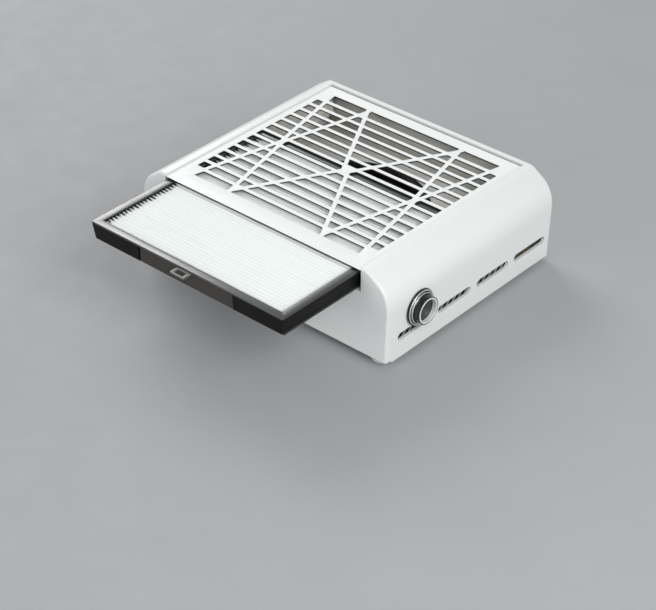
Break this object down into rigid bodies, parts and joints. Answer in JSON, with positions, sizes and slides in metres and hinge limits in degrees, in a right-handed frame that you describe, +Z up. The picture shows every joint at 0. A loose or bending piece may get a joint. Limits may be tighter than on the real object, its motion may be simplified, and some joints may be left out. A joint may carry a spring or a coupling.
{
  "type": "nail dust collector",
  "caption": "Tabletop nail dust collector: white housing with a slotted hand rest, a pull-out pleated filter cartridge, side air outlets, an internal fan and a speed knob.",
  "frame": {"origin": "centre of the base cover's underside, on the fan's axis; the feet reach 4.5 mm below it", "axes": "+X to the right, where the knob is; +Y to the rear, away from the drawn filter; +Z up through the grille"},
  "size_m": [0.2622, 0.2916, 0.0806],
  "materials": {
    "white_shell": "smooth white moulded plastic, soft gloss",
    "inner_grey": "pale warm grey moulded plastic",
    "foot_rubber": "pale soft rubber",
    "black_plastic": "black moulded plastic, fine grain",
    "gloss_black": "polished black plastic",
    "chrome_trim": "bright plated trim",
    "spun_metal": "dark anodised, spun in fine circles",
    "steel": "plain zinc-plated steel",
    "brass": "plain machined brass",
    "winding_copper": "enamelled copper winding over a laminated core",
    "circuit_board": "green solder mask",
    "dark_component": "moulded black",
    "pale_component": "off-white nylon",
    "filter_paper": "pleated white filter paper",
    "foam": "dark closed-cell foam",
    "felt": "tan pressed felt"
  },
  "bodies": {
    "housing": {"base_cover": "white_shell", "bezel_trim": "chrome_trim", "board_capacitor": "dark_component", "board_connector": "pale_component", "control_board": "circuit_board", "damping_pad": "felt", "deck_post_front_left": "inner_grey", "deck_post_front_right": "inner_grey", "deck_post_rear_left": "inner_grey", "deck_post_rear_right": "inner_grey", "deck_screw_front_left": "steel", "deck_screw_front_right": "steel", "deck_screw_rear_left": "steel", "deck_screw_rear_right": "steel", "driver_chip": "dark_component", "fan_deck": "inner_grey", "filter_back_wall": "inner_grey", "filter_rail_left": "inner_grey", "filter_rail_right": "inner_grey", "foot_front_left": "foot_rubber", "foot_front_right": "foot_rubber", "foot_rear_left": "foot_rubber", "foot_rear_right": "foot_rubber", "housing_screw_front_left": "steel", "housing_screw_front_right": "steel", "housing_screw_rear_left": "steel", "housing_screw_rear_right": "steel", "inlet_nut": "steel", "inlet_pin": "steel", "inlet_ring": "black_plastic", "knob_bezel": "gloss_black", "louver_strip_left": "white_shell", "louver_strip_right": "white_shell", "main_housing": "white_shell", "motor_bearing": "brass", "motor_lead": "dark_component", "motor_plate": "steel", "motor_screw_1": "steel", "motor_screw_2": "steel", "motor_screw_3": "steel", "motor_stator": "winding_copper", "potentiometer_nut": "brass", "power_inlet": "black_plastic", "power_lead": "dark_component", "speed_potentiometer": "steel", "top_grille": "white_shell"},
    "filter_cartridge": {"filter_frame": "black_plastic", "filter_media": "filter_paper", "filter_seal": "foam", "pull_tab": "black_plastic"},
    "speed_knob": {"knob_barrel": "gloss_black", "knob_skirt_ring": "chrome_trim", "knob_rim": "chrome_trim", "knob_face": "spun_metal", "potentiometer_shaft": "steel"},
    "fan_rotor": {"rotor_can": "steel", "motor_shaft": "steel", "impeller": "black_plastic", "hub_nut": "brass"}
  },
  "joints": [
    {"name": "filter_slide", "type": "slide", "parent": "housing", "child": "filter_cartridge", "axis": [0, -1, 0], "range_m": [-0.0808, 0.095]},
    {"name": "speed_knob_turn", "type": "hinge", "parent": "housing", "child": "speed_knob", "pos_m": [0.132, -0.0645, 0.036], "axis": [-1, 0, 0], "range_deg": [0, 280]},
    {"name": "fan_spin", "type": "hinge", "parent": "housing", "child": "fan_rotor", "pos_m": [0, 0, 0.02], "axis": [0, 0, 1], "continuous": true}
  ]
}
